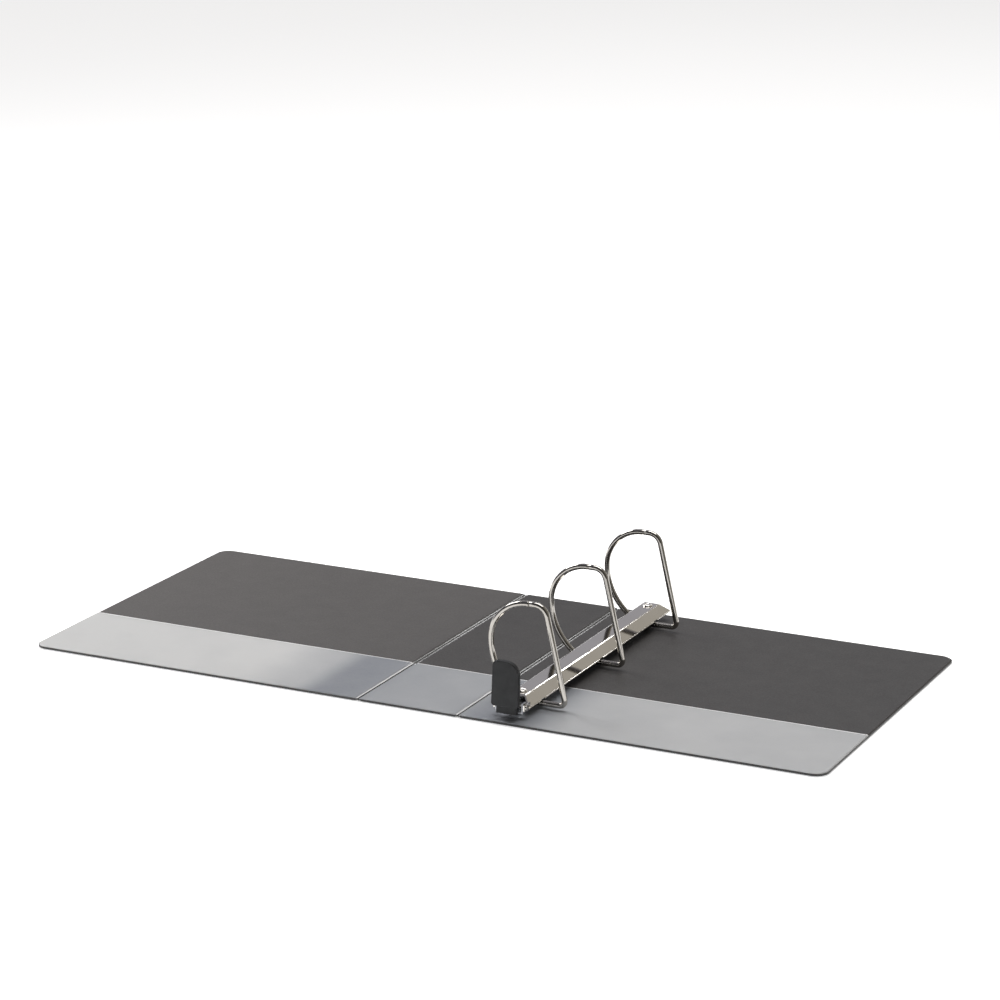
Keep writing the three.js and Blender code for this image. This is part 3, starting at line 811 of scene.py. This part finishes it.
def make_hinge(side, x, node):
    """The groove between two panels: its welded web, and the pocket film on it."""
    web_end = HALF_HEIGHT - WEB_INSET
    ys = [-web_end, 0.5 * MM - web_end, web_end - 0.5 * MM, web_end]
    web = sweep_along_y(f"{side}_hinge_groove", x, web_profile(), ys)
    finish_piece(web, None, node, WELDED_VINYL)
    pieces = [web]
    film_start = -HALF_HEIGHT + FILM_INSET
    film_ys = [film_start, film_start + 0.6 * MM, POCKET_TOP_Y - 1 * MM, POCKET_TOP_Y]
    for i, (start, end, material) in enumerate(WELDS):
        profile = weld_film_profile(start, end)
        film = sweep_along_y(f"{side}_hinge_pocket_weld_{i + 1}", x, profile, film_ys)
        pieces.append(finish_piece(film, None, None, material))
    for piece in pieces:
        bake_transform(piece)


def make_covers():
    for name in PANELS:
        make_outer_skin(name)
        make_board(name)
        make_liner(name)
        make_view_film(name)
        make_pocket(name)
    make_hinge("front", -HINGE_X, "front_hinge_web")
    make_hinge("back", HINGE_X, "back_hinge_web")


# ---------------------------------------------------------------- rings

RING_SIDES = 32
FLANK_STEPS = 24
ROUND_STEPS = 40
TOP_BEND_STEPS = 20
FOOT_BEND_STEPS = 24
# How far a straight half's bar runs on past the stub that joins it to its rail.
BAR_OVERLAP = 2 * MM


def arc(cx, cz, radius, start, end, steps):
    """Points and directions along an arc in the XZ plane."""
    turn = 1 if end > start else -1
    made = []
    for i in range(steps + 1):
        a = start + (end - start) * i / steps
        point = (cx + radius * math.cos(a), cz + radius * math.sin(a))
        made.append((point, (-turn * math.sin(a), turn * math.cos(a))))
    return made


def wire_loop(point, direction, y, radius):
    """A circle of points across a wire."""
    (x, z), (dx, dz) = point, direction
    loop = []
    for k in range(RING_SIDES):
        a = 2 * math.pi * k / RING_SIDES
        out, side = radius * math.cos(a), radius * math.sin(a)
        loop.append([x - dz * out, y + side, z + dx * out])
    return loop


def wire(name, path, y, pointed_start=0.0, pointed_end=0.0):
    """A round wire along a path, chamfered at its ends, with each end cut to a ridge or a valley if asked."""
    loops = [wire_loop(point, direction, y, WIRE_RADIUS) for point, direction in path]
    for at, sign, pointed in ((0, -1, pointed_start), (-1, 1, pointed_end)):
        point, direction = path[at]
        tip = loops[at]
        inner = wire_loop(point, direction, y, WIRE_RADIUS - WIRE_CHAMFER)
        for vertex, inside in zip(tip, inner):
            high = abs(vertex[2] - point[1]) / WIRE_RADIUS
            vertex[0] += sign * pointed * (1 - high) - sign * WIRE_CHAMFER
            inside[0] += sign * pointed * (1 - high)
        if at == 0:
            loops.insert(0, inner)
        else:
            loops.append(inner)
    return loft(name, loops, smooth_angle=50)


def curved_path():
    """A curved half's wire: up its flank from the foot, over the round top and straight to the tip."""
    middle = RING_TOP_Z - RING_ROUND
    flank_x = RING_CENTRE_X - RING_ROUND + RING_FLANK
    foot = math.pi + math.asin((middle - CURVED_FOOT_Z) / RING_FLANK)
    path = arc(flank_x, middle, RING_FLANK, foot, math.pi, FLANK_STEPS)
    path += arc(RING_CENTRE_X, middle, RING_ROUND, math.pi, math.pi / 2, ROUND_STEPS)[1:]
    path.append(((TIP_X - TIP_GAP / 2, RING_TOP_Z), (1, 0)))
    return path


def straight_path():
    """A straight half's wire: from the tip, round the top bend, down the leaning leg and in along the bar."""
    lean = math.atan(LEG_LEAN)
    top_setback = LEG_TOP_BEND * math.tan((math.pi / 2 - lean) / 2)
    foot_setback = LEG_FOOT_BEND * math.tan((math.pi / 2 + lean) / 2)
    leg_foot_x = LEG_TOP_X + (RING_TOP_Z - BAR_Z) * LEG_LEAN
    path = [((TIP_X + TIP_GAP / 2, RING_TOP_Z), (1, 0))]
    top_z = RING_TOP_Z - LEG_TOP_BEND
    foot_z = BAR_Z + LEG_FOOT_BEND
    path += arc(LEG_TOP_X - top_setback, top_z, LEG_TOP_BEND, math.pi / 2, lean, TOP_BEND_STEPS)
    path += arc(leg_foot_x - foot_setback, foot_z, LEG_FOOT_BEND, lean, -math.pi / 2, FOOT_BEND_STEPS)
    path.append(((HOUSING_X + FOOT_X - BAR_OVERLAP, BAR_Z), (-1, 0)))
    return path


def make_rings():
    for name, y in zip(("near", "middle", "far"), RING_YS):
        curved = wire(f"{name}_curved_ring", curved_path(), y, pointed_end=TIP_POINT)
        finish_piece(curved, "curved_halves", f"{name}_ring_curved_half", RING_NICKEL_PAINTED_SHADE)
        straight = wire(f"{name}_straight_ring", straight_path(), y, pointed_start=-TIP_POINT)
        finish_piece(straight, "straight_halves", f"{name}_ring_straight_half", RING_NICKEL_PAINTED_SHADE)


# ---------------------------------------------------------------- housing, rails, rivets and lever

RIVET_SIDES = 40
RIVET_HEAD = 4 * MM
RIVET_SHANK = 2 * MM
RIVET_HEAD_RISE = 1.1 * MM


def draw_in_edges(mesh):
    """Sets the housing's upright edges back, so that its rolled hem stands proud of them."""
    low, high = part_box("ring_housing")
    limit = (high.x - low.x) / 2 - HEM_PROUD
    for vertex in mesh.vertices:
        beyond = abs(vertex.co.x - HOUSING_X) - limit
        if beyond > 0:
            vertex.co.x -= math.copysign(beyond, vertex.co.x - HOUSING_X)


def make_mechanism():
    """The pressed and moulded parts, each with its edges rounded by so many millimetres."""
    pieces = [
        ("ring_housing", "arched_housing", 0.35, "back_cover", "nickel_plate", NICKEL),
        ("left_rail", "left_ring_rail", 0.15, "curved_halves", "zinc_steel", ZINC),
        ("right_rail", "right_ring_rail", 0.15, "straight_halves", "zinc_steel", ZINC),
        ("near_rivet_spacer", "near_spacer_post", 0.2, "back_cover", "zinc_steel", ZINC),
        ("far_rivet_spacer", "far_spacer_post", 0.2, "back_cover", "zinc_steel", ZINC),
        ("lever_arm", "lever_steel_arm", 0.25, "lever", "zinc_steel", ZINC),
        ("lever_cap", "lever_thumb_cap", 0.35, "lever", "lever_plastic", LEVER_PLASTIC),
        ("lever_pin", "lever_pivot_pin", 0.15, "back_cover", "nickel_plate", NICKEL),
    ]
    for node, name, bevel, body, slot, material in pieces:
        piece = refined_copy(node, name, bevel * MM)
        if node == "ring_housing":
            draw_in_edges(piece.data)
        finish_piece(piece, body, node, material)


def make_housing_edges():
    """The hem rolled along the housing's long edges, cut away where the straight ring halves pass under."""
    low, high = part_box("ring_housing")
    radius = HEM_RADIUS
    half = (high.x - low.x) / 2 - radius
    z = low.z + radius
    near, far = HOUSING_NEAR_Y, high.y - 0.2 * MM
    gaps = [(y - NOTCH_HALF, y + NOTCH_HALF) for y in RING_YS]
    stops = [near, *(edge for gap in gaps for edge in gap), far]
    spans = [(-1, near, far)] + [(1, stops[i], stops[i + 1]) for i in range(0, len(stops), 2)]
    angles = [2 * math.pi * k / HEM_SIDES for k in range(HEM_SIDES)]
    profile = [(radius * math.cos(a), z + radius * math.sin(a)) for a in angles]
    for i, (side, start, end) in enumerate(spans):
        x = HOUSING_X + side * half
        ys = [start, start + 0.2 * MM, end - 0.2 * MM, end]
        hem = sweep_along_y(f"housing_hem_{i + 1}", x, profile, ys)
        finish_piece(hem, "back_cover", None, NICKEL)


def make_rivets():
    """Tubular rivets with a dished head."""
    angles = [2 * math.pi * k / RIVET_SIDES for k in range(RIVET_SIDES)]
    for end in ("near", "far"):
        low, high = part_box(f"{end}_rivet")
        x, y = (low.x + high.x) / 2, (low.y + high.y) / 2
        tail = (high.x - low.x) / 2
        head, shank = RIVET_HEAD, RIVET_SHANK
        base = high.z - RIVET_HEAD_RISE
        profile = [
            (0.05 * MM, low.z),
            (tail - 0.1 * MM, low.z),
            (tail, low.z + 0.1 * MM),
            (tail, low.z + 0.3 * MM),
            (shank, low.z + 0.35 * MM),
            (shank, base),
            (head - 0.15 * MM, base),
            (head, base + 0.15 * MM),
            (head - 0.1 * MM, base + 0.5 * MM),
            (head - 0.5 * MM, base + 0.9 * MM),
            (head - 1.0 * MM, high.z),
            (head - 1.4 * MM, high.z - 0.08 * MM),
            (head - 1.8 * MM, high.z - 0.45 * MM),
            (head - 2.2 * MM, high.z - 0.62 * MM),
            (0.05 * MM, high.z - 0.66 * MM),
        ]
        loops = [[(x + r * math.cos(a), y + r * math.sin(a), z) for a in angles] for r, z in profile]
        rivet = loft(f"{end}_housing_rivet", loops)
        finish_piece(rivet, "back_cover", f"{end}_rivet", NICKEL)


make_studio()
make_covers()
make_rings()
make_mechanism()
make_housing_edges()
make_rivets()
